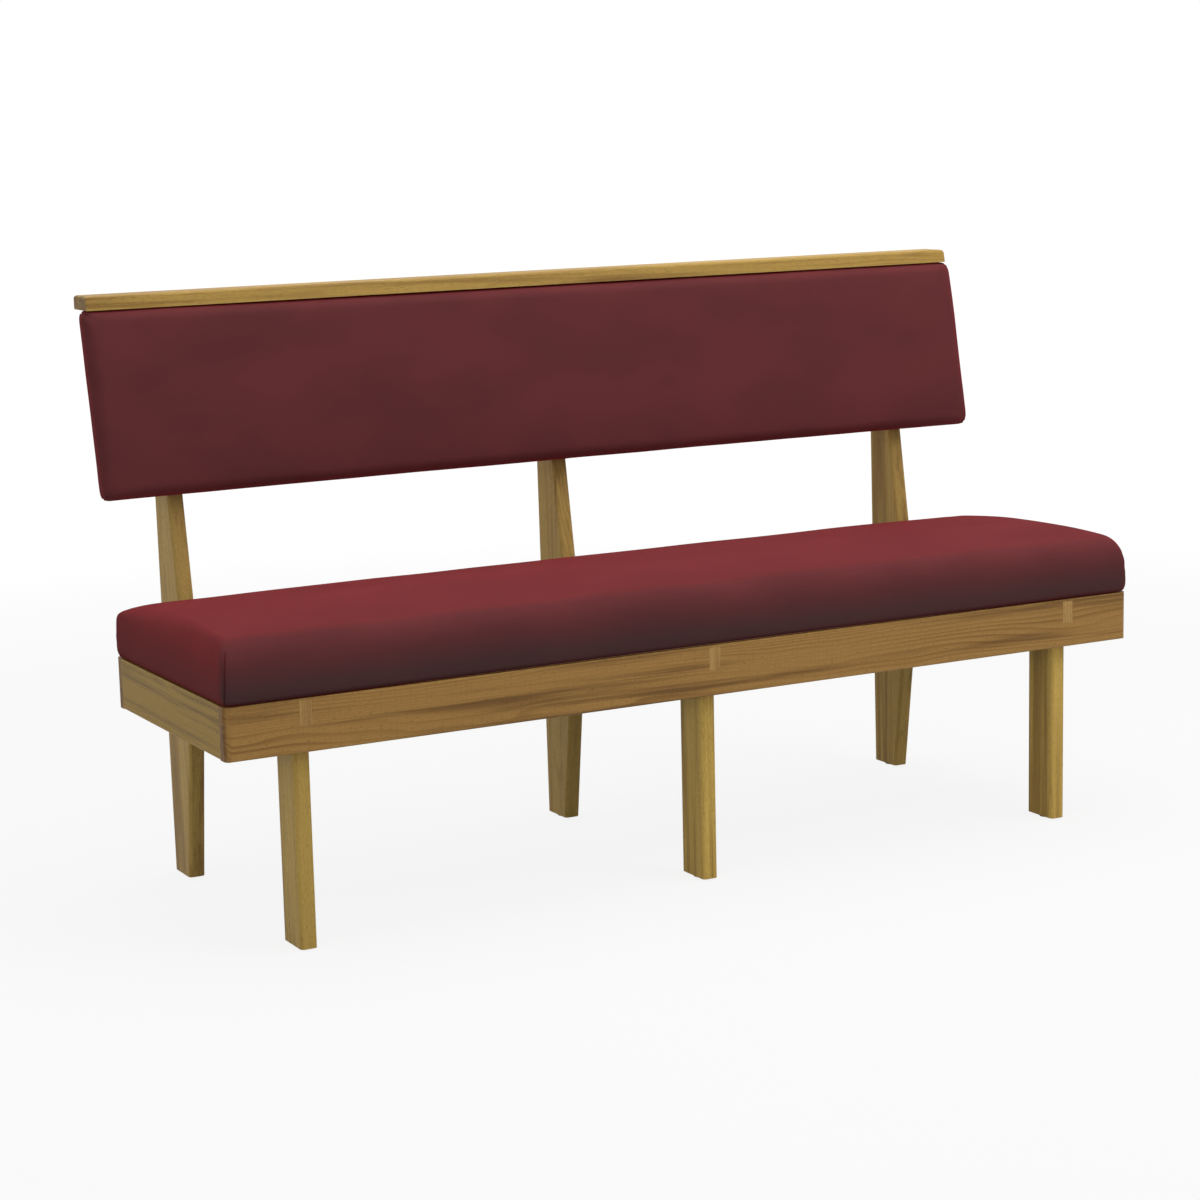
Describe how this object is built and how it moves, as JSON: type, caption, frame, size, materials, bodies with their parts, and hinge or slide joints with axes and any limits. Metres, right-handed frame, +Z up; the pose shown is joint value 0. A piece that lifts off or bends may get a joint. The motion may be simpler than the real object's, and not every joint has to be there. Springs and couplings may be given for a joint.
{
  "type": "portable pew",
  "caption": "Free-standing bench with a long upholstered seat, a raked padded back under a timber cap rail, and flat timber legs with shaped rear posts.",
  "frame": {"origin": "on the floor, under the middle of the pew's bounding box", "axes": "+X along the pew, to the right seen from the front, +Y from the front to the back, +Z up"},
  "size_m": [1.529, 0.5498, 0.884],
  "materials": {
    "oak": "satin",
    "oak_inlay": "satin",
    "beech": "matte",
    "plywood": "matte",
    "steel": "satin",
    "seat_fabric": "matte",
    "dust_cloth": "matte",
    "foam": "matte",
    "glide_plastic": "matte"
  },
  "bodies": {
    "root": {"front_rail": "oak", "rear_rail": "oak", "left_end_rail": "oak", "right_end_rail": "oak", "left_front_leg": "oak", "middle_front_leg": "oak", "right_front_leg": "oak", "left_rear_post": "oak", "middle_rear_post": "oak", "right_rear_post": "oak", "left_bearer": "oak", "middle_bearer": "oak", "right_bearer": "oak", "corner_blocks": "oak", "front_inlays": "oak_inlay", "front_bolts": "steel", "rear_bolts": "steel", "barrel_nuts": "steel", "rail_dowels": "beech", "bearer_dowels": "beech", "post_dowels": "beech", "cap_dowels": "beech", "block_screws": "steel", "seat_screws": "steel", "back_screws": "steel", "back_plugs": "oak_inlay", "seat_board": "plywood", "seat_foam": "foam", "seat_cover": "seat_fabric", "dust_cover": "dust_cloth", "back_board": "plywood", "back_foam": "foam", "back_cover": "seat_fabric", "outer_back": "seat_fabric", "cap_rail": "oak", "glides": "glide_plastic"}
  },
  "joints": []
}
